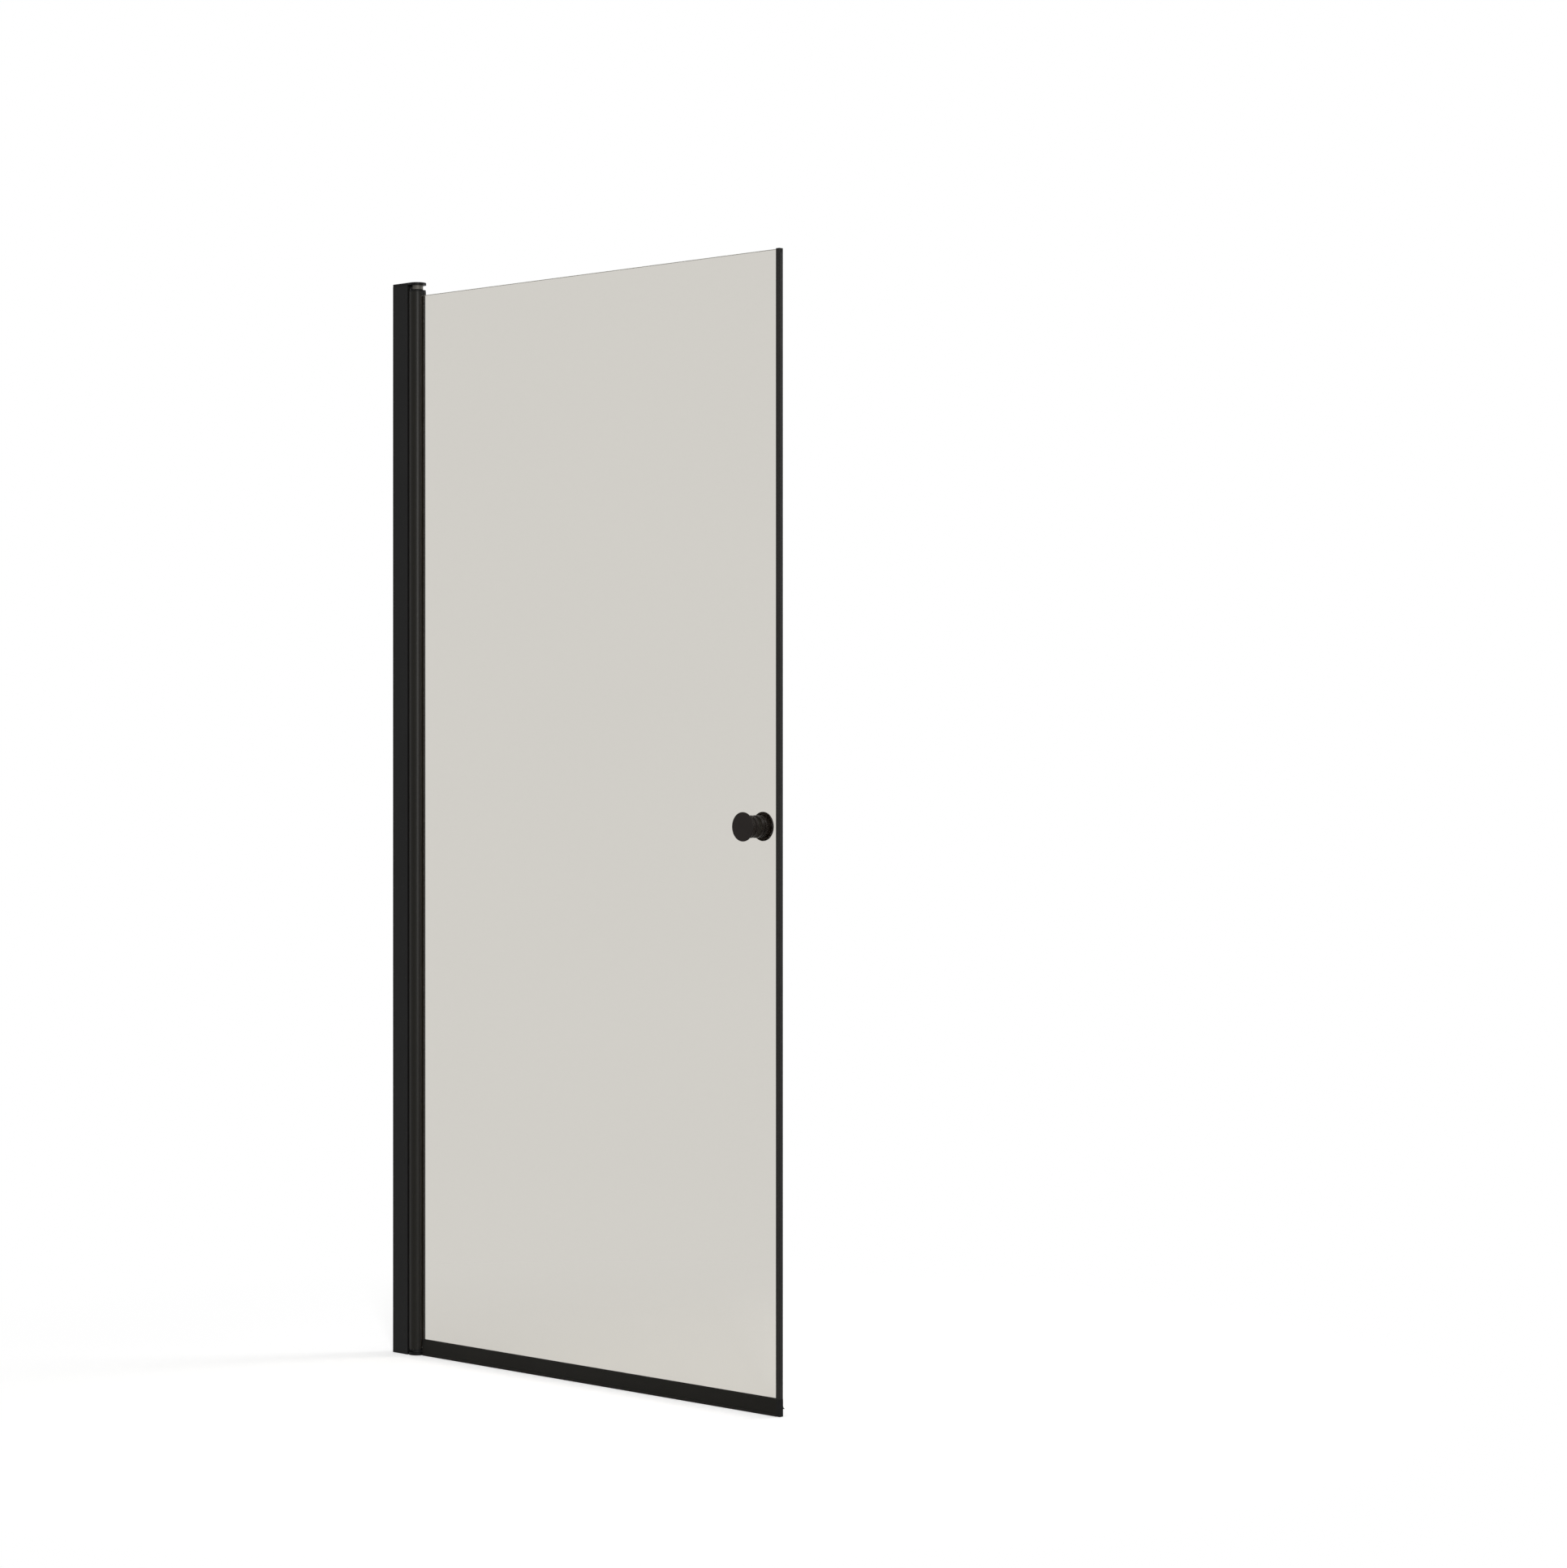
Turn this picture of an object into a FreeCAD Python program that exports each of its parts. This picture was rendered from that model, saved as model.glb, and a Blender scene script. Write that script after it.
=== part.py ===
import FreeCAD, Part
import math
import os

# Shower door that swings both in and out on a round hinge profile.
# Origin: on the wall face, at the middle of the wall profile's lower end.
# X runs across the doorway, Y from outside to inside the shower, Z up. Lengths are in millimetres.

# Overall sizes
overall_height = 2000.0
overall_width = 1000.0

# Clearances that the fits share
fit_gap = 0.1           # pieces that are put together once and stay
slide_gap = 0.3         # faces of bodies that move past each other
running_gap = 0.05      # a pin in its bush, on the radius
glass_side_gap = 0.2    # glass in a metal channel, on each side
cut_overrun = 1.0       # how far a cut runs past the face that it opens

# Round hinge profile with its glass pocket
hinge_diameter = 32.0
hinge_wall = 2.0
pocket_wall = 1.4
gasket_thickness = 1.3
gasket_setback = 0.6    # from the mouth of the pocket
glass_edge_gap = 0.5    # from the glass edge to the bottom of a channel
plug_flange = 3.0
plug_step = 0.4         # flange edge inside the tube's outside
plug_web = 1.2          # plug wall between bush and pocket
plug_land = 6.0         # plug length past the bush

# Pivots
edge_clearance = 1.5    # from the hinge profile to the wall profile's edges
pin_diameter = 8.0
pin_engagement = 20.0
pin_tip = 1.0
pin_spigot_diameter = 6.0
pin_spigot_length = 3.5
pin_collar_diameter = 21.0
pin_collar_height = 8.0
bush_wall = 1.4
bush_flange_diameter = 17.0
bush_flange_height = 1.5
washer_diameter = 22.0
washer_thickness = 2.0
cap_gap = 9.5           # from the leaf to the top cap

# Wall profile
wall_web = 2.0
wall_flange = 1.6
wall_hole_diameter = 6.0
wall_hole_count = 4
wall_hole_end = 150.0

# Side adjustment: screws through slots in the jamb, into nut plates
adjust_travel = 12.0
adjust_count = 3
adjust_end = 250.0
adjust_screw_diameter = 4.0
adjust_head_diameter = 8.0
adjust_head_height = 2.2
slot_clearance = 0.5
slot_margin = 5.0       # from the jamb's back edge to its slots
back_room = 6.0         # from the wall profile's web to the jamb
flange_land = 14.5      # from the screws to the wall profile's front edge
nut_width = 12.0
nut_thickness = 2.4
cover_wall = 1.0

# Jamb profile and its seals
jamb_leg = 1.6
seat_gap = 0.8
seat_wall = 2.0
port_wall = 1.5
port_bite = 0.8         # how far a screw port sinks into the seat wall
port_clearance = 1.2    # from a screw port to the nut plates
seal_width = 3.0
seal_depth = 1.1
seal_angle = 38.0       # degrees from the middle of the seat

# Top cap and foot
cap_thickness = 4.5
cap_overhang = 0.3
cap_wall_gap = 0.5
cap_edge_round = 1.0
foot_thickness = 6.0
tongue_depth = 6.0
cap_screw_diameter = 3.8
cap_screw_head_diameter = 7.2
cap_screw_head_depth = 2.2
cap_screw_length = 25.0
socket_width = 2.5
socket_depth = 1.4

# Glass
glass_thickness = 6.0
glass_drop = 11.0       # from the hinge profile's top to the glass edge
glass_hole_diameter = 12.0

# Bottom rail
rail_top = 30.0
rail_bottom = 4.0
rail_wall = 1.2
rail_web = 1.5
rail_hinge_gap = 2.4
rail_cap_thickness = 1.5
rail_cap_bottom = 0.3
glass_sink = 16.0       # depth of the glass in the rail
block_height = 1.0
block_length = 60.0
block_place_shares = (0.2, 0.8)
lip_height = 1.0
lip_reach = 0.9
wiper_root_height = 4.3
wiper_base_height = 1.5
wiper_lip_thickness = 1.1
fin_level = 12.7        # height of the drip fin's free edge
fin_reach = 3.4
fin_thickness = 0.9
fin_drop = 1.6
fin_base_height = 4.0

# Strike profile with its magnet
strike_width = 9.0
strike_wall = 1.3
strike_web = 1.2
strike_glass_depth = 4.0
strike_plug_thickness = 1.0
strike_plug_tongue = 6.0
magnet_proud = 0.6

# Knobs
knob_height = 997.0
knob_setback = 67.0     # from the strike face to the knob's axis
knob_diameter = 50.0
knob_depth = 23.4       # from the glass to the knob's face
knob_rim = 2.4
knob_rim_round = 0.6
knob_neck_diameter = 38.6
knob_neck_round = 0.6   # at the glass
knob_groove_setback = 7.7   # from the glass to the groove round the neck
knob_groove_width = 2.0
knob_groove_depth = 1.2
knob_washer_diameter = 36.0
knob_washer_thickness = 0.8
stud_diameter = 6.0
stud_depth = 12.0       # of the stud in each knob
grub_diameter = 4.0
grub_length = 9.0
grub_setback = 4.6      # from the glass side of the knob

# Places that follow from the sizes above
hinge_radius = hinge_diameter / 2
wall_inner = hinge_radius - wall_flange
jamb_half = wall_inner - slide_gap
jamb_inner = jamb_half - jamb_leg
jamb_back = wall_web + back_room
slot_start = jamb_back + slot_margin
slot_end = slot_start + adjust_travel + adjust_screw_diameter + 2 * slot_clearance
adjust_x = slot_end - slot_clearance - adjust_screw_diameter / 2
wall_reach = adjust_x + flange_land
pivot_x = wall_reach + math.sqrt((hinge_radius + edge_clearance) ** 2 - wall_inner ** 2)
nut_inner = jamb_inner - fit_gap - nut_thickness

seat_radius = hinge_radius + seat_gap
seat_back = seat_radius + seat_wall
seat_front_x = pivot_x - math.sqrt(seat_radius ** 2 - jamb_half ** 2)
port_radius = cap_screw_diameter / 2 + port_wall
port_y = nut_inner - port_clearance - port_radius
port_x = pivot_x - math.sqrt(seat_back ** 2 - port_y ** 2) - port_radius + port_bite

cap_bottom = overall_height - cap_thickness
wall_top = cap_bottom - slide_gap
leaf_top = cap_bottom - cap_gap
leaf_bottom = foot_thickness + washer_thickness + fit_gap
tube_low = leaf_bottom + plug_flange
tube_high = leaf_top - plug_flange

pin_radius = pin_diameter / 2
bush_radius = pin_radius + running_gap + bush_wall
bush_length = pin_engagement + pin_tip
pocket_half = glass_thickness / 2 + gasket_thickness
pocket_outer = pocket_half + pocket_wall
pocket_wall_x = pivot_x + bush_radius + plug_web + fit_gap
pocket_back_x = pocket_wall_x + pocket_wall
pocket_mouth_x = pivot_x + math.sqrt(hinge_radius ** 2 - pocket_half ** 2)

glass_half = glass_thickness / 2
channel_half = glass_half + glass_side_gap
glass_top = leaf_top - glass_drop
glass_low = rail_top - glass_sink
glass_left = pocket_back_x + glass_edge_gap
strike_left = overall_width - strike_width
strike_web_x = strike_left + strike_glass_depth
glass_right = strike_web_x - glass_edge_gap
strike_half = channel_half + strike_wall
strike_top = glass_top + strike_plug_thickness

rail_half = channel_half + rail_wall
rail_cap_left = pivot_x + hinge_radius + rail_hinge_gap
rail_left = rail_cap_left + rail_cap_thickness
rail_floor = glass_low - block_height

knob_x = overall_width - knob_setback
knob_base = glass_half + knob_washer_thickness
knob_face = glass_half + knob_depth


def point(x, y, z):
    """Point in the part's frame."""
    return FreeCAD.Vector(x, y, z)


def block(x, y, z):
    """Box from a low and a high end on each axis."""
    return Part.makeBox(x[1] - x[0], y[1] - y[0], z[1] - z[0], point(x[0], y[0], z[0]))


def rod(radius, start, end):
    """Round bar between two points."""
    axis = end.sub(start)
    return Part.makeCylinder(radius, axis.Length, start, axis)


def taper(start_radius, end_radius, start, end):
    """Cone between two points."""
    axis = end.sub(start)
    return Part.makeCone(start_radius, end_radius, axis.Length, start, axis)


def upright(radius, low, high, x=pivot_x, y=0.0):
    """Round bar along Z, on the pivot axis unless told otherwise."""
    return rod(radius, point(x, y, low), point(x, y, high))


def both(half):
    """Span that lies evenly about zero."""
    return (-half, half)


def ordered(first, second):
    """Span between two ends given in any order."""
    return (min(first, second), max(first, second))


def spread(low, high, count):
    """Evenly spaced places from low to high."""
    return [low + (high - low) * step / (count - 1) for step in range(count)]


def hex_socket(start, axis):
    """Cutter for a hexagon socket that goes from a screw's face along the axis."""
    corner = socket_width / math.sqrt(3)
    corners = [
        point(corner * math.cos(math.radians(turn)), corner * math.sin(math.radians(turn)), 0.0)
        for turn in range(0, 361, 60)
    ]
    prism = Part.Face(Part.makePolygon(corners)).extrude(point(0.0, 0.0, socket_depth))
    prism.Placement = FreeCAD.Placement(start, FreeCAD.Rotation(point(0.0, 0.0, 1.0), axis))
    return prism


wall_hole_places = spread(wall_hole_end, wall_top - wall_hole_end, wall_hole_count)
adjust_places = spread(adjust_end, wall_top - adjust_end, adjust_count)
port_places = (-port_y, port_y)


def wall_profile():
    """U channel with wall holes in its web and screw holes in its inner flange."""
    profile = block((0.0, wall_reach), both(hinge_radius), (0.0, wall_top))
    profile = profile.cut(
        block((wall_web, wall_reach + cut_overrun), both(wall_inner), (-cut_overrun, wall_top + cut_overrun))
    )
    for z in wall_hole_places:
        profile = profile.cut(
            rod(wall_hole_diameter / 2, point(-cut_overrun, 0.0, z), point(wall_web + cut_overrun, 0.0, z))
        )
    for z in adjust_places:
        profile = profile.cut(
            rod(
                adjust_screw_diameter / 2 + fit_gap,
                point(adjust_x, wall_inner - cut_overrun, z),
                point(adjust_x, hinge_radius + cut_overrun, z),
            )
        )
    return profile


def adjustment_screw(z):
    """Pan head screw that enters through the inner flange."""
    face = hinge_radius + adjust_head_height
    head = rod(adjust_head_diameter / 2, point(adjust_x, hinge_radius, z), point(adjust_x, face, z))
    shank = rod(adjust_screw_diameter / 2, point(adjust_x, nut_inner, z), point(adjust_x, hinge_radius, z))
    return head.fuse(shank).cut(hex_socket(point(adjust_x, face, z), point(0.0, -1.0, 0.0)))


def clamp_nut(z):
    """Square nut plate inside the jamb."""
    half = nut_width / 2
    plate = block(
        (adjust_x - half, adjust_x + half), (nut_inner, nut_inner + nut_thickness), (z - half, z + half)
    )
    hole = rod(
        adjust_screw_diameter / 2 + running_gap,
        point(adjust_x, nut_inner - cut_overrun, z),
        point(adjust_x, jamb_half, z),
    )
    return plate.cut(hole)


def screw_cover(z):
    """Snap cover over an adjusting screw's head."""
    inside = adjust_head_diameter / 2 + fit_gap
    floor = hinge_radius + adjust_head_height + fit_gap
    top = floor + cover_wall
    cup = rod(inside + cover_wall, point(adjust_x, hinge_radius, z), point(adjust_x, top, z))
    rim = [edge for edge in cup.Edges if edge.BoundBox.YMin > floor]
    cup = cup.makeFillet(cover_wall / 2, rim)
    return cup.cut(rod(inside, point(adjust_x, hinge_radius - cut_overrun, z), point(adjust_x, floor, z)))


def seal_block(side, inner, outer):
    """Straight bar set in the seat, at the seal's angle on the given side of the seat."""
    bar = block((inner, outer), both(seal_width / 2), (foot_thickness, cap_bottom))
    bar.rotate(point(0.0, 0.0, 0.0), point(0.0, 0.0, 1.0), 180.0 - side * seal_angle)
    bar.translate(point(pivot_x, 0.0, 0.0))
    return bar


def jamb_seal(side):
    """Seal that closes the gap between the seat and the hinge profile."""
    return seal_block(side, hinge_radius + slide_gap, seat_radius + seal_depth)


def jamb_profile():
    """Inner profile: two legs, a round seat, screw ports and adjusting slots."""
    span = (foot_thickness, cap_bottom)
    outside = block((jamb_back, seat_front_x), both(jamb_half), span)
    hollow = block((jamb_back - cut_overrun, seat_front_x + cut_overrun), both(jamb_inner), span)
    profile = outside.cut(hollow)
    profile = profile.fuse(upright(seat_back, span[0], span[1]).common(outside))
    for y in port_places:
        profile = profile.fuse(upright(port_radius, span[0], span[1], port_x, y))
    profile = profile.cut(upright(seat_radius, span[0] - cut_overrun, span[1] + cut_overrun))
    for y in port_places:
        profile = profile.cut(
            upright(cap_screw_diameter / 2 + running_gap, span[0], span[1], port_x, y)
        )
    for side in (-1, 1):
        profile = profile.cut(seal_block(side, hinge_radius, seat_radius + seal_depth))
    slot_half = adjust_screw_diameter / 2 + slot_clearance
    for z in adjust_places:
        slot_y = (jamb_inner - cut_overrun, jamb_half + cut_overrun)
        slot = block((slot_start + slot_half, slot_end - slot_half), slot_y, (z - slot_half, z + slot_half))
        for x in (slot_start + slot_half, slot_end - slot_half):
            slot = slot.fuse(rod(slot_half, point(x, slot_y[0], z), point(x, slot_y[1], z)))
        profile = profile.cut(slot)
    return profile.removeSplitter()


def tongue(low, high):
    """Block that centres an end piece between the legs of the jamb."""
    room = (jamb_back, port_x - port_radius - fit_gap)
    return block(room, both(jamb_inner - fit_gap), (low, high))


def cap_screw(y, face, way):
    """Countersunk screw whose head is flush with a face; way is 1 up and -1 down from that face."""
    start = point(port_x, y, face)
    head_end = point(port_x, y, face + way * cap_screw_head_depth)
    end = point(port_x, y, face + way * cap_screw_length)
    head = taper(cap_screw_head_diameter / 2, cap_screw_diameter / 2, start, head_end)
    return head.fuse(rod(cap_screw_diameter / 2, head_end, end))


def cap_screws(face, way):
    """Pair of countersunk screws with their sockets."""
    return Part.makeCompound(
        [
            cap_screw(y, face, way).cut(hex_socket(point(port_x, y, face), point(0.0, 0.0, way)))
            for y in port_places
        ]
    )


def screw_seat(y, face, way):
    """Cutter for a countersunk screw: its own shape with room round the shank."""
    end = face + way * cap_screw_length
    room = rod(cap_screw_diameter / 2 + fit_gap, point(port_x, y, face), point(port_x, y, end))
    return cap_screw(y, face, way).fuse(room)


def top_cap():
    """Plate over both profiles, with a round end over the hinge."""
    half = hinge_radius + cap_overhang
    span = (cap_bottom, overall_height)
    plate = block((cap_wall_gap, pivot_x), both(half), span).fuse(upright(half, span[0], span[1]))
    plate = plate.removeSplitter()
    rim = [edge for edge in plate.Edges if edge.BoundBox.ZMin > cap_bottom + cap_thickness / 2]
    plate = plate.makeFillet(cap_edge_round, rim)
    plate = plate.fuse(tongue(cap_bottom - tongue_depth, cap_bottom))
    for y in port_places:
        plate = plate.cut(screw_seat(y, overall_height, -1))
    return plate.cut(upright(pin_spigot_diameter / 2, cap_bottom, cap_bottom + pin_spigot_length))


def bottom_foot():
    """Plate under the jamb and the hinge, between the flanges of the wall profile."""
    span = (0.0, foot_thickness)
    plate = block((jamb_back, pivot_x), both(jamb_half), span)
    nose = upright(hinge_radius, span[0], span[1])
    rim = [edge for edge in nose.Edges if edge.BoundBox.ZMin > foot_thickness / 2]
    nose = nose.makeFillet(cap_edge_round, rim)
    beside_flanges = block((wall_reach, pivot_x), both(hinge_radius), span)
    plate = plate.cut(beside_flanges).fuse(nose)
    plate = plate.fuse(tongue(foot_thickness, foot_thickness + tongue_depth))
    for y in port_places:
        plate = plate.cut(screw_seat(y, 0.0, 1))
    return plate.cut(upright(pin_spigot_diameter / 2, foot_thickness - pin_spigot_length, foot_thickness))


def pivot_pin(seat, way, end):
    """Pin from its seat to its tip; way is 1 up and -1 down."""
    tip = end - way * pin_tip
    pin = rod(pin_radius, point(pivot_x, 0.0, seat), point(pivot_x, 0.0, tip))
    pin = pin.fuse(
        taper(pin_radius, pin_radius - pin_tip, point(pivot_x, 0.0, tip), point(pivot_x, 0.0, end))
    )
    root = seat - way * pin_spigot_length
    return pin.fuse(rod(pin_spigot_diameter / 2, point(pivot_x, 0.0, root), point(pivot_x, 0.0, seat)))


def upper_pivot_pin():
    """Pin that hangs from the top cap, with a wide collar that keeps the leaf down."""
    pin = pivot_pin(cap_bottom, -1, leaf_top - pin_engagement)
    return pin.fuse(upright(pin_collar_diameter / 2, cap_bottom - pin_collar_height, cap_bottom))


def lower_pivot_pin():
    """Pin that stands in the foot."""
    return pivot_pin(foot_thickness, 1, leaf_bottom + pin_engagement)


def thrust_washer():
    """Washer between the foot and the lower bush."""
    span = (foot_thickness, foot_thickness + washer_thickness)
    ring = upright(washer_diameter / 2, span[0], span[1])
    return ring.cut(upright(pin_radius + fit_gap, span[0], span[1]))


def hinge_tube():
    """Round tube with a pocket for the glass edge."""
    span = (tube_low, tube_high)
    outside = upright(hinge_radius, span[0], span[1])
    tube = outside.cut(upright(hinge_radius - hinge_wall, span[0], span[1]))
    walls = block((pocket_wall_x, pivot_x + hinge_radius), both(pocket_outer), span).common(outside)
    pocket = block((pocket_back_x, pivot_x + hinge_radius + cut_overrun), both(pocket_half), span)
    return tube.fuse(walls).cut(pocket).removeSplitter()


def tube_plug(end, way, glass_end):
    """End plug: flange, body round the bush and a tab that fills the pocket up to the glass."""
    def along(distance):
        return end + way * distance

    flange_span = ordered(end, along(plug_flange))
    body_span = ordered(end, along(plug_flange + bush_length + plug_land))
    body = upright(hinge_radius - hinge_wall - fit_gap, body_span[0], body_span[1])
    body = body.cut(
        block(
            (pocket_wall_x - fit_gap, pivot_x + hinge_radius),
            both(pocket_outer + fit_gap),
            ordered(along(plug_flange), along(plug_flange + bush_length + plug_land)),
        )
    )
    tab = block(
        (pocket_back_x + fit_gap, pocket_mouth_x - gasket_setback),
        both(pocket_half - fit_gap),
        ordered(along(plug_flange), glass_end - way * glass_edge_gap),
    )
    flange = upright(hinge_radius - plug_step, flange_span[0], flange_span[1])
    plug = body.fuse(flange).fuse(tab)
    bore = ordered(end, along(bush_flange_height + bush_length))
    plug = plug.cut(upright(bush_radius, bore[0], bore[1]))
    recess = ordered(end, along(bush_flange_height))
    return plug.cut(upright(bush_flange_diameter / 2, recess[0], recess[1]))


def pivot_bush(end, way):
    """Flanged bush, flush with the plug's end."""
    flange = ordered(end, end + way * bush_flange_height)
    sleeve = ordered(end, end + way * (bush_flange_height + bush_length))
    bush = upright(bush_flange_diameter / 2, flange[0], flange[1])
    bush = bush.fuse(upright(bush_radius, sleeve[0], sleeve[1]))
    return bush.cut(upright(pin_radius + running_gap, sleeve[0], sleeve[1]))


def glazing_gasket(side):
    """Strip between the glass and one wall of the pocket."""
    faces = ordered(side * glass_half, side * pocket_half)
    return block((pocket_back_x, pocket_mouth_x - gasket_setback), faces, (glass_low, glass_top))


def glass_panel():
    """Flat pane with one hole for the knobs' stud."""
    pane = block((glass_left, glass_right), both(glass_half), (glass_low, glass_top))
    hole = rod(
        glass_hole_diameter / 2,
        point(knob_x, -glass_half - cut_overrun, knob_height),
        point(knob_x, glass_half + cut_overrun, knob_height),
    )
    return pane.cut(hole)


def bottom_rail():
    """Rail with a glass channel above and a wiper channel below."""
    along = (rail_left, strike_left)
    rail = block(along, both(rail_half), (rail_bottom, rail_top))
    rail = rail.cut(block(along, both(channel_half), (rail_floor, rail_top + cut_overrun)))
    lip_top = rail_bottom + lip_height
    rail = rail.cut(block(along, both(channel_half), (lip_top, rail_floor - rail_web)))
    return rail.cut(block(along, both(channel_half - lip_reach), (rail_bottom - cut_overrun, lip_top)))


def rail_cap(x_low, x_high, glass_x):
    """End cap of the rail, slotted for the glass within the given span."""
    cap = block((x_low, x_high), both(rail_half), (rail_cap_bottom, rail_top))
    return cap.cut(block(glass_x, both(channel_half), (rail_floor, rail_top + cut_overrun)))


def setting_blocks():
    """Pads that the glass stands on in the rail."""
    run = strike_left - rail_left
    pads = []
    for share in block_place_shares:
        middle = rail_left + run * share
        along = (middle - block_length / 2, middle + block_length / 2)
        pads.append(block(along, both(glass_half), (rail_floor, glass_low)))
    return Part.makeCompound(pads)


def wiper_seal():
    """Sweep under the rail: a root in the channel, a base and two lips down to the floor."""
    along = (rail_left, strike_left)
    base_top = rail_bottom - fit_gap
    base_low = base_top - wiper_base_height
    root_low = rail_bottom + lip_height + fit_gap
    seal = block(along, both(channel_half - fit_gap), (root_low, root_low + wiper_root_height))
    seal = seal.fuse(block(along, both(channel_half - lip_reach - fit_gap), (base_top, root_low)))
    seal = seal.fuse(block(along, both(rail_half), (base_low, base_top)))
    for side in (-1, 1):
        faces = ordered(side * rail_half, side * (rail_half - wiper_lip_thickness))
        seal = seal.fuse(block(along, faces, (0.0, base_low)))
    return seal.removeSplitter()


def drip_fin():
    """Fin on the rail's inner face that leads drips back into the shower."""
    edge_y = rail_half + fin_reach
    bend_y = rail_half + fin_thickness
    bend_z = fin_level + fin_drop
    outline = [
        (rail_half, fin_level),
        (bend_y, fin_level + fin_drop - fin_thickness),
        (edge_y, fin_level - fin_thickness / 2),
        (edge_y, fin_level + fin_thickness / 2),
        (bend_y, bend_z + fin_thickness),
        (bend_y, fin_level + fin_base_height),
        (rail_half, fin_level + fin_base_height),
    ]
    corners = [point(rail_left, y, z) for y, z in outline + outline[:1]]
    return Part.Face(Part.makePolygon(corners)).extrude(point(overall_width - rail_left, 0.0, 0.0))


def strike_profile():
    """H section: a glass channel on one side and a magnet channel on the other."""
    span = (rail_top, glass_top)
    front = overall_width - magnet_proud
    profile = block((strike_left, front), both(strike_half), span)
    profile = profile.cut(block((strike_left - cut_overrun, strike_web_x), both(channel_half), span))
    return profile.cut(block((strike_web_x + strike_web, front + cut_overrun), both(channel_half), span))


def strike_plug():
    """Top plug of the strike profile, with a tongue in the magnet channel."""
    front = overall_width - magnet_proud
    plate = block((strike_left, front), both(strike_half), (glass_top, strike_top))
    tongue_x = (strike_web_x + strike_web + fit_gap, front)
    tongue_z = (glass_top - strike_plug_tongue, glass_top)
    return plate.fuse(block(tongue_x, both(channel_half - fit_gap), tongue_z))


def magnetic_strip():
    """Magnet bar that stands a little proud of its channel."""
    along = (strike_web_x + strike_web + fit_gap, overall_width)
    return block(along, both(channel_half - fit_gap), (rail_top, glass_top - strike_plug_tongue))


def knob_line(radius, start, end, side):
    """Round bar on the knobs' axis, from start to end on one side of the glass."""
    return rod(radius, point(knob_x, side * start, knob_height), point(knob_x, side * end, knob_height))


def knob(side):
    """Turned knob: a grooved neck on the glass and a wider rim, with a blind hole for the stud."""
    rim_back = knob_face - knob_rim
    neck = knob_line(knob_neck_diameter / 2, knob_base, rim_back, side)
    rings = [edge for edge in neck.Edges if edge.Closed]
    neck = neck.makeFillet(knob_neck_round, [min(rings, key=lambda ring: abs(ring.CenterOfMass.y))])
    disc = knob_line(knob_diameter / 2, rim_back, knob_face, side)
    disc = disc.makeFillet(knob_rim_round, [edge for edge in disc.Edges if edge.Closed])
    hole = knob_line(stud_diameter / 2 + running_gap, knob_base, knob_base + stud_depth + fit_gap, side)
    start = glass_half + knob_groove_setback
    end = start + knob_groove_width
    core = knob_line(knob_neck_diameter / 2 - knob_groove_depth, start, end, side)
    groove = knob_line(knob_neck_diameter / 2, start, end, side).cut(core)
    return neck.fuse(disc).cut(hole).cut(groove)


def grub_line(radius, start, end):
    """Upright bar at the grub screw's place, between two distances below the knob's axis."""
    y = knob_base + grub_setback
    return upright(radius, knob_height - end, knob_height - start, knob_x, y)


def knob_inner():
    """Inner knob, with a hole from below for its grub screw."""
    return knob(1).cut(grub_line(grub_diameter / 2 + running_gap, 0.0, knob_diameter / 2))


def knob_grub_screw():
    """Grub screw that presses on the stud."""
    start = stud_diameter / 2
    end = start + grub_length
    socket = hex_socket(
        point(knob_x, knob_base + grub_setback, knob_height - end), point(0.0, 0.0, 1.0)
    )
    return grub_line(grub_diameter / 2, start, end).cut(socket)


def knob_stud():
    """Stud through the glass, into both knobs."""
    reach = knob_base + stud_depth
    return knob_line(stud_diameter / 2, -reach, reach, 1)


def knob_washers():
    """Black washers between the knobs and the glass."""
    rings = []
    for side in (-1, 1):
        ring = knob_line(knob_washer_diameter / 2, glass_half, knob_base, side)
        rings.append(ring.cut(knob_line(stud_diameter / 2 + fit_gap, glass_half, knob_base, side)))
    return Part.makeCompound(rings)


def glass_sleeve():
    """Sleeve that keeps the stud off the edge of the glass hole."""
    sleeve = knob_line(glass_hole_diameter / 2 - fit_gap, -glass_half, glass_half, 1)
    return sleeve.cut(knob_line(stud_diameter / 2 + running_gap, -glass_half, glass_half, 1))


def at_each_screw(make):
    """Group of one piece per adjusting screw."""
    return Part.makeCompound([make(z) for z in adjust_places])


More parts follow.
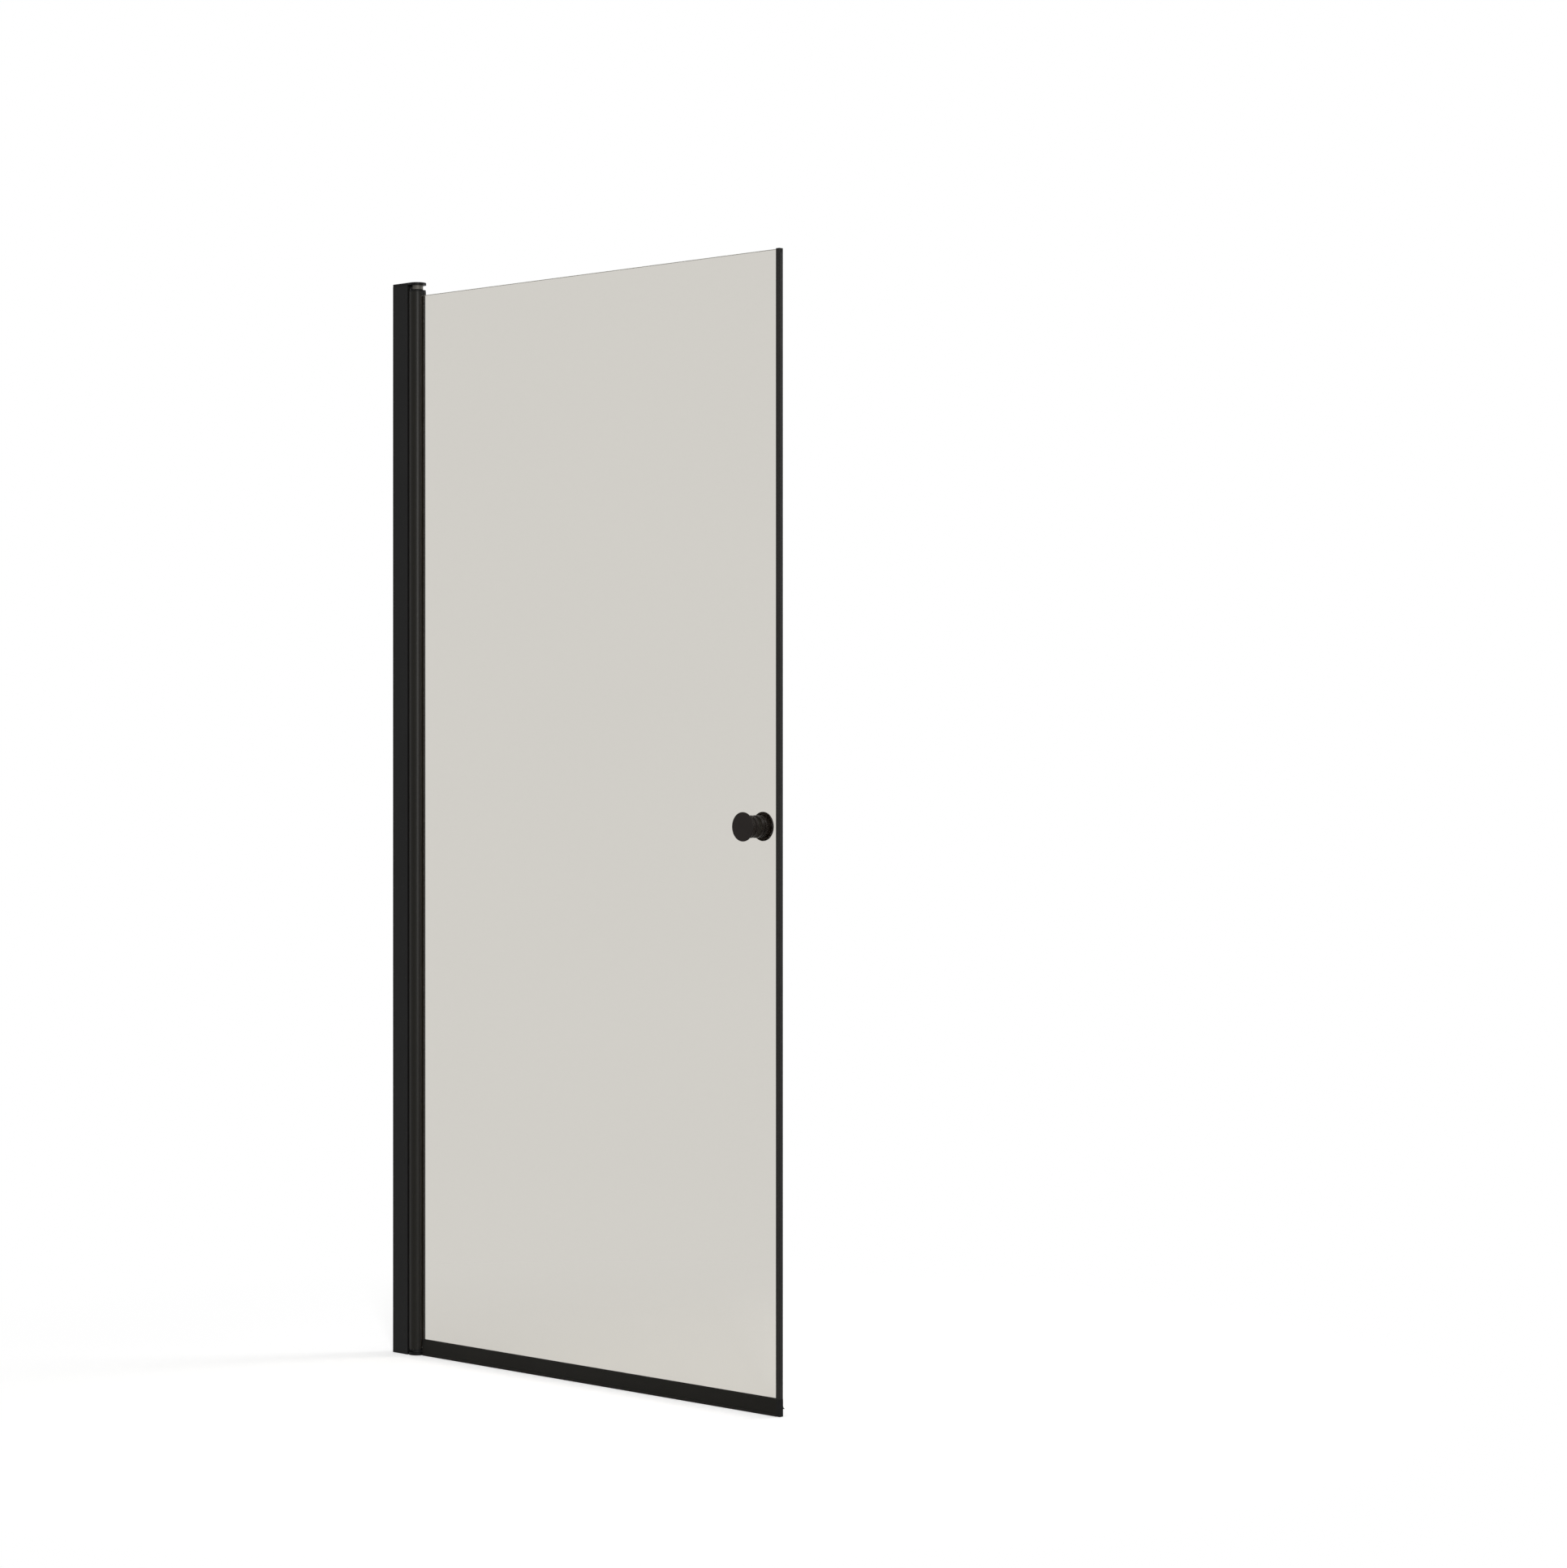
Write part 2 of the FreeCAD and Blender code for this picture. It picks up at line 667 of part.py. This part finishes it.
nodes = {
    "wall_profile": wall_profile(),
    "adjustment_screws": at_each_screw(adjustment_screw),
    "clamp_nuts": at_each_screw(clamp_nut),
    "screw_covers": at_each_screw(screw_cover),
    "jamb_profile": jamb_profile(),
    "jamb_seal_front": jamb_seal(-1),
    "jamb_seal_rear": jamb_seal(1),
    "top_cap": top_cap(),
    "top_cap_screws": cap_screws(overall_height, -1),
    "bottom_foot": bottom_foot(),
    "foot_screws": cap_screws(0.0, 1),
    "upper_pivot_pin": upper_pivot_pin(),
    "lower_pivot_pin": lower_pivot_pin(),
    "thrust_washer": thrust_washer(),
    "hinge_tube": hinge_tube(),
    "tube_plug_top": tube_plug(leaf_top, -1, glass_top),
    "tube_plug_bottom": tube_plug(leaf_bottom, 1, glass_low),
    "pivot_bush_top": pivot_bush(leaf_top, -1),
    "pivot_bush_bottom": pivot_bush(leaf_bottom, 1),
    "glazing_gasket_front": glazing_gasket(-1),
    "glazing_gasket_rear": glazing_gasket(1),
    "glass_panel": glass_panel(),
    "bottom_rail": bottom_rail(),
    "rail_cap_hinge": rail_cap(rail_cap_left, rail_left, (rail_cap_left, rail_left)),
    "rail_cap_strike": rail_cap(strike_left, overall_width, (strike_left, strike_web_x)),
    "setting_blocks": setting_blocks(),
    "wiper_seal": wiper_seal(),
    "drip_fin": drip_fin(),
    "strike_profile": strike_profile(),
    "strike_plug": strike_plug(),
    "magnetic_strip": magnetic_strip(),
    "knob_outer": knob(-1),
    "knob_inner": knob_inner(),
    "knob_stud": knob_stud(),
    "knob_washers": knob_washers(),
    "glass_sleeve": glass_sleeve(),
    "knob_grub_screw": knob_grub_screw(),
}

os.makedirs("parts", exist_ok=True)
for name, shape in nodes.items():
    shape.exportStep("parts/" + name + ".step")
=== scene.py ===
import math

import bmesh
import bpy
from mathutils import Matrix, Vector


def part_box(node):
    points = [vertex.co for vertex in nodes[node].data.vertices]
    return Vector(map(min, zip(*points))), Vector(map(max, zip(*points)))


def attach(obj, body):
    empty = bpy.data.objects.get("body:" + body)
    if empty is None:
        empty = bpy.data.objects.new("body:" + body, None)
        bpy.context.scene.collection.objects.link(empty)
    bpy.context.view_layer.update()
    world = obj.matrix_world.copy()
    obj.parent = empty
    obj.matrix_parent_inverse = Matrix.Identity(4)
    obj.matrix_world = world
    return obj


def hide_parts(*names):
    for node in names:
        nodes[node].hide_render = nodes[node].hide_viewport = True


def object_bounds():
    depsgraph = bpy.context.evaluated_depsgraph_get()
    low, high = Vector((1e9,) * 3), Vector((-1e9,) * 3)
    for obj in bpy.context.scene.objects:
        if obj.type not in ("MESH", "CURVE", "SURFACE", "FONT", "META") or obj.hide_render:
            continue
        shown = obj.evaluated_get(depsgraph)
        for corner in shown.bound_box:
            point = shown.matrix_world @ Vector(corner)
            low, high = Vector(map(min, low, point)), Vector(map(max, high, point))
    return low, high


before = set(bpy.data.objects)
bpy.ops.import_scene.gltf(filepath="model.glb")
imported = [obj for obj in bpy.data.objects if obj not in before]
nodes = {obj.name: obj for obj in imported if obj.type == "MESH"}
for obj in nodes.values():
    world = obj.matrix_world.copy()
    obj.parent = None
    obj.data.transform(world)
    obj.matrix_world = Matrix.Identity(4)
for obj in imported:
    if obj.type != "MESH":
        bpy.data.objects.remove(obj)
cad_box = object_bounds()

MM = 0.001

# View of the photo: a level camera, with the horizon a little above the picture's middle
photo_height = 1932
focal_pixels = 4594.8
horizon_pixel = 928.5
camera_place = (5.394, -4.5182, 1.1214)
camera_turn = math.radians(44.17)
camera_reach = 200.0
sensor_width = 36.0

# Stage: lengths in metres, the floor's fade measured from the object's middle
cad_low, cad_high = [Vector(corner) for corner in cad_box]
object_middle = ((cad_low.x + cad_high.x) / 2, (cad_low.y + cad_high.y) / 2, 0.0)
lamp_target = (0.5, 0.0, 1.0)
hinge_side = (0.05, 0.0, 1.3)
floor_half = 30.0
floor_drop = 0.4 * MM
floor_albedo = 0.82
floor_roughness = 0.9
floor_cloud = 0.6
floor_glow = 0.45
floor_near = 0.6
floor_far = 1.6
full_white = 1.0
world_fill = 0.36

# Finish of the pieces: base colours are linear
white = (1.0, 1.0, 1.0)
coat_wall = (0.0112, 0.0112, 0.0111)
coat_leaf = (0.0086, 0.0079, 0.0060)
coat_rail = (0.0088, 0.0082, 0.0064)
coat_strike = (0.0200, 0.0188, 0.0175)
plastic_black = (0.0058, 0.0057, 0.0055)
rubber_black = (0.0130, 0.0118, 0.0100)
# The gaskets' grey is painted light: far lighter than the seal rubber, so the gaskets read as lit
# in the tube's shaded slot
gasket_painted_light_grey = (0.0580, 0.0505, 0.0410)
knob_black = (0.0125, 0.0095, 0.0080)
# The inner knob's black is painted light: lighter than the outer knob's same coat, to make up for
# the light it loses behind the glass
knob_inner_painted_light_black = (0.0210, 0.0165, 0.0145)
magnet_black = (0.0245, 0.0240, 0.0230)
steel_bright = (0.33, 0.326, 0.316)
steel_dark = (0.095, 0.090, 0.080)
acetal_white = (0.76, 0.75, 0.70)
acetal_black = (0.0200, 0.0195, 0.0185)
# The washers' grey is painted light: much lighter than the knob's black, standing in for light in
# the shaded gap between knob and glass
washer_painted_light_grey = (0.100, 0.094, 0.087)
clear_tint = (0.86, 0.88, 0.87)
glass_tint = (0.634, 0.615, 0.573)
glass_edge_tint = (0.40, 0.39, 0.35)
glass_index = 1.18

# A noise texture's values that count as its darkest and lightest
noise_reach = (0.3, 0.7)
even = (1.0, 1.0, 1.0)

# Edges
weld_gap = 0.001 * MM
flat_angle = math.radians(0.5)
round_angle = math.radians(35.0)
round_steps = 3
glass_arris = 0.5 * MM
arris_angle = math.radians(60.0)
glass_hole_radius = 6.0 * MM
hole_steps = 48


class Finish:
    """A procedural material: one Principled shader and the textures that feed it."""

    def __init__(self, name):
        self.material = bpy.data.materials.new(name)
        self.material.use_nodes = True
        self.tree = self.material.node_tree
        self.shader = self.tree.nodes["Principled BSDF"]
        self.coords = self.tree.nodes.new("ShaderNodeTexCoord").outputs["Object"]

    def feed(self, socket, value):
        """Links another node's output to a socket, or sets a plain value on it."""
        if isinstance(value, bpy.types.NodeSocket):
            self.tree.links.new(value, socket)
        else:
            socket.default_value = value

    def feed_all(self, node, inputs):
        for name, value in inputs.items():
            self.feed(node.inputs[name.replace("_", " ")], value)

    def add(self, kind, **inputs):
        node = self.tree.nodes.new(kind)
        self.feed_all(node, inputs)
        return node

    def set(self, **inputs):
        self.feed_all(self.shader, inputs)

    def calculate(self, kind, operation, first, second):
        """A Math or Vector Math node on two values."""
        node = self.add(kind)
        node.operation = operation
        for socket, value in zip(node.inputs, (first, second)):
            self.feed(socket, value)
        return node

    def noise(self, cell, detail, stretch=even):
        """Soft cloud whose cells are about the given length in metres."""
        place = self.add("ShaderNodeMapping", Vector=self.coords, Scale=stretch)
        node = self.add(
            "ShaderNodeTexNoise",
            Vector=place.outputs["Vector"],
            Scale=1.0 / cell,
            Detail=detail,
        )
        return node.outputs["Fac"]

    def span(self, factor, low, high):
        """A texture's values stretched to a range from low to high."""
        darkest, lightest = noise_reach
        node = self.add(
            "ShaderNodeMapRange",
            Value=factor,
            From_Min=darkest,
            From_Max=lightest,
            To_Min=low,
            To_Max=high,
        )
        return node.outputs["Result"]

    def shade(self, factor, colour, spread):
        """The colour, a little darker or lighter by the texture."""
        ramp = self.add("ShaderNodeValToRGB", Fac=factor)
        gains = (1.0 - spread, 1.0 + spread)
        for element, place, gain in zip(ramp.color_ramp.elements, noise_reach, gains):
            element.position = place
            element.color = [channel * gain for channel in colour] + [1.0]
        return ramp.outputs["Color"]

    def speckle(self, colour, factor, spread):
        """A textured colour with a second, finer texture over it."""
        fine = self.shade(factor, white, spread)
        node = self.add("ShaderNodeMixRGB", Fac=1.0, Color1=colour, Color2=fine)
        node.blend_type = "MULTIPLY"
        return node.outputs["Color"]

    def bump(self, height, depth, under=None):
        """Relief of the given depth in metres, over another relief where one is given."""
        node = self.add("ShaderNodeBump", Height=height, Distance=depth, Strength=1.0)
        if under is not None:
            self.feed(node.inputs["Normal"], under)
        return node.outputs["Normal"]

    def mix(self, factor, first, second):
        """Ends the material in a mix of two shaders."""
        node = self.add("ShaderNodeMixShader")
        for socket, value in zip(node.inputs, (factor, first, second)):
            self.feed(socket, value)
        self.feed(self.tree.nodes["Material Output"].inputs["Surface"], node.outputs["Shader"])
        return node.outputs["Shader"]

    def pass_lamps(self, colour):
        """Lets the lamps shine through a clear material, with its tint shared by its two faces."""
        path = self.add("ShaderNodeLightPath")
        face_tint = [math.sqrt(channel) for channel in colour] + [1.0]
        clear = self.add("ShaderNodeBsdfTransparent", Color=face_tint)
        self.mix(path.outputs["Is Shadow Ray"], self.shader.outputs["BSDF"], clear.outputs["BSDF"])

    def seen_by_eye(self, strength, otherwise=0.0):
        """The strength for rays that show a picture: straight, mirrored or through glass.

        Rays that only carry light get the other value.
        """
        path = self.add("ShaderNodeLightPath")
        shown = path.outputs["Is Camera Ray"]
        for name in ("Is Glossy Ray", "Is Transmission Ray"):
            either = self.calculate("ShaderNodeMath", "MAXIMUM", shown, path.outputs[name])
            shown = either.outputs["Value"]
        pick = self.add("ShaderNodeMapRange", Value=shown, To_Min=otherwise, To_Max=strength)
        return pick.outputs["Result"]


class WorldFinish(Finish):
    """The same helpers on the world's nodes."""

    def __init__(self, world):
        world.use_nodes = True
        self.tree = world.node_tree
        self.shader = self.tree.nodes["Background"]


def powder_coat(name, colour, gloss):
    """Matte coat: fine sprayed grain over a slow orange peel."""
    finish = Finish(name)
    grain = finish.noise(cell=0.45 * MM, detail=3.0)
    peel = finish.noise(cell=2.6 * MM, detail=1.0)
    drift = finish.noise(cell=140 * MM, detail=3.0)
    tone = finish.shade(drift, colour, spread=0.07)
    waves = finish.bump(peel, depth=0.05 * MM)
    finish.set(
        Base_Color=finish.speckle(tone, grain, spread=0.22),
        Roughness=finish.span(grain, low=0.32, high=0.42),
        Specular_IOR_Level=gloss,
        Normal=finish.bump(grain, depth=0.05 * MM, under=waves),
    )
    return finish.material


def moulded_plastic(name, colour):
    """Moulding with an eroded grain."""
    finish = Finish(name)
    grain = finish.noise(cell=0.5 * MM, detail=4.0)
    drift = finish.noise(cell=25 * MM, detail=2.0)
    finish.set(
        Base_Color=finish.shade(drift, colour, spread=0.08),
        Roughness=finish.span(grain, low=0.36, high=0.50),
        Specular_IOR_Level=0.08,
        Normal=finish.bump(grain, depth=0.03 * MM),
    )
    return finish.material


def extruded_rubber(name, colour, along):
    """Soft seal with faint drawn lines along its run."""
    finish = Finish(name)
    drawn_out = 0.02
    stretch = [drawn_out if axis == along else 1.0 for axis in "XYZ"]
    lines = finish.noise(cell=0.4 * MM, detail=2.0, stretch=stretch)
    bloom = finish.noise(cell=18 * MM, detail=4.0)
    finish.set(
        Base_Color=finish.shade(bloom, colour, spread=0.14),
        Roughness=finish.span(lines, low=0.50, high=0.66),
        Specular_IOR_Level=0.08,
        Normal=finish.bump(lines, depth=0.03 * MM),
    )
    return finish.material


def turned_knob(name, colour, axis):
    """Satin coat over turned metal: fine rings about the knob's axis, which lies along Y."""
    finish = Finish(name)
    ring_pitch = 8.0 * MM
    across = (1.0, 0.0, 1.0)
    offset = finish.calculate("ShaderNodeVectorMath", "SUBTRACT", finish.coords, axis)
    flat = finish.calculate("ShaderNodeVectorMath", "MULTIPLY", offset.outputs["Vector"], across)
    rings = finish.add(
        "ShaderNodeTexWave",
        Vector=flat.outputs["Vector"],
        Scale=1.0 / ring_pitch,
        Detail=2.0,
        Distortion=0.6,
    )
    rings.wave_type = "RINGS"
    rings.rings_direction = "SPHERICAL"
    grain = finish.noise(cell=0.3 * MM, detail=3.0)
    drift = finish.noise(cell=16 * MM, detail=3.0)
    tone = finish.shade(drift, colour, spread=0.08)
    spray = finish.bump(grain, depth=0.02 * MM)
    finish.set(
        Base_Color=finish.speckle(tone, grain, spread=0.14),
        Roughness=finish.span(grain, low=0.30, high=0.40),
        Specular_IOR_Level=0.10,
        Normal=finish.bump(rings.outputs["Fac"], depth=0.012 * MM, under=spray),
    )
    return finish.material


def turned_steel(name, colour, smooth, rough):
    """Stainless steel with fine tool marks."""
    finish = Finish(name)
    marks = finish.noise(cell=0.15 * MM, detail=3.0, stretch=(0.2, 0.2, 1.0))
    drift = finish.noise(cell=5 * MM, detail=3.0)
    finish.set(
        Base_Color=finish.shade(drift, colour, spread=0.06),
        Metallic=1.0,
        Roughness=finish.span(marks, low=smooth, high=rough),
        Normal=finish.bump(marks, depth=0.01 * MM),
    )
    return finish.material


def acetal(name, colour):
    """Bearing plastic, slightly waxy."""
    finish = Finish(name)
    cloud = finish.noise(cell=3 * MM, detail=3.0)
    marks = finish.noise(cell=0.2 * MM, detail=2.0, stretch=(0.3, 0.3, 1.0))
    finish.set(
        Base_Color=finish.shade(cloud, colour, spread=0.03),
        Roughness=finish.span(marks, low=0.38, high=0.50),
        Subsurface_Weight=0.15,
        Subsurface_Scale=1.0 * MM,
        Normal=finish.bump(marks, depth=0.008 * MM),
    )
    return finish.material


def clear_plastic(name, colour):
    """Clear soft plastic with a slight haze."""
    finish = Finish(name)
    haze = finish.noise(cell=6 * MM, detail=1.0)
    finish.set(
        Base_Color=finish.shade(haze, colour, spread=0.03),
        Roughness=finish.span(haze, low=0.20, high=0.28),
        IOR=1.42,
        Transmission_Weight=0.92,
    )
    finish.pass_lamps(colour)
    return finish.material


def tinted_glass(name, colour):
    """Clear pane with a warm grey tint."""
    finish = Finish(name)
    wave = finish.noise(cell=260 * MM, detail=1.0, stretch=(0.35, 1.0, 1.0))
    finish.set(
        Base_Color=finish.shade(wave, colour, spread=0.004),
        Roughness=0.0,
        IOR=glass_index,
        Transmission_Weight=1.0,
    )
    finish.pass_lamps(colour)
    return finish.material


def ground_edge(name, colour):
    """Satin edge of the pane, with fine grinding marks."""
    finish = Finish(name)
    marks = finish.noise(cell=0.5 * MM, detail=2.0, stretch=(0.05, 1.0, 0.05))
    finish.set(
        Base_Color=finish.shade(marks, colour, spread=0.05),
        Roughness=finish.span(marks, low=0.30, high=0.45),
        IOR=glass_index,
        Transmission_Weight=0.4,
    )
    finish.pass_lamps(colour)
    return finish.material


def soften(node, radius):
    """Rounds the edges of a CAD node by modifiers, with its own mesh as it was."""
    piece = nodes[node]
    weld = piece.modifiers.new("join_faces", "WELD")
    weld.merge_threshold = weld_gap
    flat = piece.modifiers.new("flat_faces", "DECIMATE")
    flat.decimate_type = "DISSOLVE"
    flat.angle_limit = flat_angle
    bevel = piece.modifiers.new("edge_round", "BEVEL")
    bevel.width = radius
    bevel.segments = round_steps
    bevel.limit_method = "ANGLE"
    bevel.angle_limit = round_angle
    bevel.miter_outer = "MITER_ARC"
    normals = piece.modifiers.new("even_shade", "WEIGHTED_NORMAL")
    normals.keep_sharp = False


def middle(node):
    low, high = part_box(node)
    return (low + high) / 2


def add_to_scene(piece):
    bpy.context.scene.collection.objects.link(piece)


wall_coat = powder_coat("powder_coat_wall", coat_wall, gloss=0.06)
leaf_coat = powder_coat("powder_coat_leaf", coat_leaf, gloss=0.128)
rail_coat = powder_coat("powder_coat_rail", coat_rail, gloss=0.065)
strike_coat = powder_coat("powder_coat_strike", coat_strike, gloss=0.07)
plastic = moulded_plastic("moulded_black", plastic_black)
rubber_upright = extruded_rubber("seal_upright", rubber_black, along="Z")
rubber_level = extruded_rubber("seal_level", rubber_black, along="X")
# Gasket rubber with painted light: a lighter grey than the seals, standing in for light that
# doesn't reach the slot
gasket = extruded_rubber("gasket", gasket_painted_light_grey, along="Z")
magnet = extruded_rubber("magnet_strip", magnet_black, along="Z")
knob_coat = turned_knob("knob_coat", knob_black, middle("knob_outer"))
# Inner knob coat with painted light: a lighter copy of the knob coat, for the shade behind the
# glass
knob_inner_painted_light_coat = turned_knob("knob_inner_painted_light_coat", knob_inner_painted_light_black, middle("knob_inner"))
steel = turned_steel("turned_steel", steel_bright, smooth=0.28, rough=0.42)
pin_steel = turned_steel("pin_steel", steel_dark, smooth=0.55, rough=0.68)
bearing = acetal("acetal", acetal_white)
dark_bearing = acetal("acetal_dark", acetal_black)
# Washer plastic with painted light: grey to show light in the shaded gap between knob and glass
washer = moulded_plastic("moulded_washer_painted_light", washer_painted_light_grey)
sleeve = clear_plastic("clear_sleeve", clear_tint)
glass = tinted_glass("tinted_glass_pane", glass_tint)
glass_edge = ground_edge("tinted_glass_edge", glass_edge_tint)

# Node: finish and edge radius in millimetres
looks = {
    "wall_profile": (wall_coat, 0.4),
    "adjustment_screws": (steel, 0.2),
    "clamp_nuts": (steel, 0.3),
    "screw_covers": (plastic, 0.0),
    "jamb_profile": (wall_coat, 0.2),
    "jamb_seal_front": (rubber_upright, 0.4),
    "jamb_seal_rear": (rubber_upright, 0.4),
    "top_cap": (plastic, 0.25),
    "top_cap_screws": (steel, 0.0),
    "bottom_foot": (plastic, 0.25),
    "foot_screws": (steel, 0.0),
    "upper_pivot_pin": (pin_steel, 0.25),
    "lower_pivot_pin": (pin_steel, 0.25),
    "thrust_washer": (dark_bearing, 0.3),
    "hinge_tube": (leaf_coat, 0.3),
    "tube_plug_top": (plastic, 0.3),
    "tube_plug_bottom": (plastic, 0.3),
    "pivot_bush_top": (bearing, 0.2),
    "pivot_bush_bottom": (bearing, 0.2),
    "glazing_gasket_front": (gasket, 0.3),
    "glazing_gasket_rear": (gasket, 0.3),
    "glass_panel": (glass, 0.0),
    "bottom_rail": (rail_coat, 0.4),
    "rail_cap_hinge": (plastic, 0.3),
    "rail_cap_strike": (plastic, 0.4),
    "setting_blocks": (plastic, 0.2),
    "wiper_seal": (rubber_level, 0.3),
    "drip_fin": (rubber_level, 0.15),
    "strike_profile": (strike_coat, 0.35),
    "strike_plug": (plastic, 0.3),
    "magnetic_strip": (magnet, 0.3),
    "knob_outer": (knob_coat, 0.0),
    "knob_inner": (knob_inner_painted_light_coat, 0.0),
    "knob_stud": (steel, 0.3),
    "knob_washers": (washer, 0.15),
    "glass_sleeve": (sleeve, 0.2),
    "knob_grub_screw": (steel, 0.0),
}
for node, (finish, radius) in looks.items():
    nodes[node].material_slots[0].material = finish
    if radius > 0.0:
        soften(node, radius * MM)


def make_pane():
    """The glass with ground edges.

    It has two faces with the knob's hole, the walls between them, and an arris all round.
    """
    low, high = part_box("glass_panel")
    hole = middle("glass_sleeve")
    corners = [(high.x, high.z), (low.x, high.z), (low.x, low.z), (high.x, low.z)]
    sides = len(corners)
    quarter = hole_steps // sides
    turns = [2 * math.pi * (step + quarter / 2) / hole_steps for step in range(hole_steps)]
    ring = [
        (hole.x + glass_hole_radius * math.cos(turn), hole.z + glass_hole_radius * math.sin(turn))
        for turn in turns
    ]
    mesh = bpy.data.meshes.new("glass_pane")
    mesh.materials.append(glass)
    mesh.materials.append(glass_edge)
    edge_slot = 1
    grid = bmesh.new()
    front, back = [
        [grid.verts.new((x, y, z)) for x, z in corners + ring] for y in (low.y, high.y)
    ]
    for face, flip in ((front, 1), (back, -1)):
        for index in range(sides):
            steps = range(index * quarter, (index + 1) * quarter + 1)
            arc = [face[sides + step % hole_steps] for step in steps]
            grid.faces.new(([face[index], face[(index + 1) % sides]] + arc[::-1])[::flip])
    for first, count in ((0, sides), (sides, hole_steps)):
        for index in range(count):
            near, far = first + index, first + (index + 1) % count
            wall = grid.faces.new((front[near], front[far], back[far], back[near]))
            wall.material_index = edge_slot
    bmesh.ops.recalc_face_normals(grid, faces=grid.faces)
    grid.to_mesh(mesh)
    grid.free()
    pane = bpy.data.objects.new("glass_pane", mesh)
    add_to_scene(pane)
    arris = pane.modifiers.new("arris", "BEVEL")
    arris.width = glass_arris
    arris.segments = 1
    arris.material = edge_slot
    arris.limit_method = "ANGLE"
    arris.angle_limit = arris_angle
    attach(pane, "door_leaf")
    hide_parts("glass_panel")
    return pane


def floor_paint():
    """Pale paint that turns to the white of the background away from the object."""
    finish = Finish("floor_paint")
    cloud = finish.noise(cell=floor_cloud, detail=2.0)
    finish.set(
        Base_Color=finish.shade(cloud, (floor_albedo,) * 3, spread=0.004),
        Roughness=floor_roughness,
        Specular_IOR_Level=0.0,
        Emission_Color=(*white, 1.0),
        Emission_Strength=finish.seen_by_eye(floor_glow),
    )
    geometry = finish.add("ShaderNodeNewGeometry")
    position = geometry.outputs["Position"]
    distance = finish.calculate("ShaderNodeVectorMath", "DISTANCE", position, object_middle)
    fade = finish.add(
        "ShaderNodeMapRange",
        Value=distance.outputs["Value"],
        From_Min=floor_near,
        From_Max=floor_far,
    )
    fade.interpolation_type = "SMOOTHSTEP"
    seen = finish.seen_by_eye(full_white)
    away = finish.calculate("ShaderNodeMath", "MULTIPLY", fade.outputs["Result"], seen)
    glow = finish.add("ShaderNodeEmission").outputs["Emission"]
    faded = finish.mix(away.outputs["Value"], finish.shader.outputs["BSDF"], glow)
    clear = finish.add("ShaderNodeBsdfTransparent").outputs["BSDF"]
    finish.mix(geometry.outputs["Backfacing"], faded, clear)
    return finish.material


def make_floor():
    """Wide floor, which is clear from below."""
    mesh = bpy.data.meshes.new("floor")
    signs = [(-1, -1), (1, -1), (1, 1), (-1, 1)]
    corners = [(x * floor_half, y * floor_half, -floor_drop) for x, y in signs]
    mesh.from_pydata(corners, [], [(0, 1, 2, 3)])
    mesh.materials.append(floor_paint())
    floor = bpy.data.objects.new("floor", mesh)
    add_to_scene(floor)


def make_world():
    """White surroundings: full white to the eye and in reflections, a plain fill as light."""
    world = bpy.data.worlds.new("studio")
    bpy.context.scene.world = world
    finish = WorldFinish(world)
    finish.set(Color=(*white, 1.0), Strength=finish.seen_by_eye(full_white, world_fill))


def softbox(name, place, target, width, height, radiance):
    """Area light of an even brightness, turned to its target, which isn't seen through glass."""
    light = bpy.data.lights.new(name, "AREA")
    light.shape = "RECTANGLE"
    light.size = width
    light.size_y = height
    light.energy = math.pi * radiance * width * height
    lamp = bpy.data.objects.new(name, light)
    lamp.location = place
    lamp.visible_camera = False
    lamp.visible_transmission = False
    way = Vector(target) - Vector(place)
    lamp.rotation_euler = way.to_track_quat("-Z", "Y").to_euler()
    add_to_scene(lamp)
    return lamp


def keep_off(lamp, piece):
    """Keeps a lamp's bright image out of a piece that mirrors sharply."""
    lit = bpy.data.collections.new(lamp.name + "_lit")
    lit.objects.link(piece)
    lamp.light_linking.receiver_collection = lit
    lit.collection_objects[0].light_linking.link_state = "EXCLUDE"


def make_lamps(pane):
    key_light = softbox(
        "key_light", place=(6.9, -5.4, 2.4), target=hinge_side, width=0.9, height=4.0, radiance=34.0
    )
    keep_off(key_light, pane)
    softbox(
        "top_light", place=(0.5, -0.6, 4.6), target=lamp_target, width=3.0, height=3.0, radiance=0.9
    )
    softbox(
        "back_light", place=(2.6, 4.2, 3.2), target=lamp_target, width=1.6, height=2.0, radiance=8.0
    )


def make_camera():
    camera = bpy.data.cameras.new("photo_camera")
    camera.sensor_width = sensor_width
    camera.lens = focal_pixels / photo_height * sensor_width
    camera.shift_y = (horizon_pixel - photo_height / 2) / photo_height
    camera.clip_end = camera_reach
    eye = bpy.data.objects.new("photo_camera", camera)
    eye.location = camera_place
    eye.rotation_euler = (math.pi / 2, 0.0, camera_turn)
    add_to_scene(eye)
    bpy.context.scene.camera = eye


make_lamps(make_pane())
make_floor()
make_world()
make_camera()
bpy.context.scene.view_settings.view_transform = "Standard"
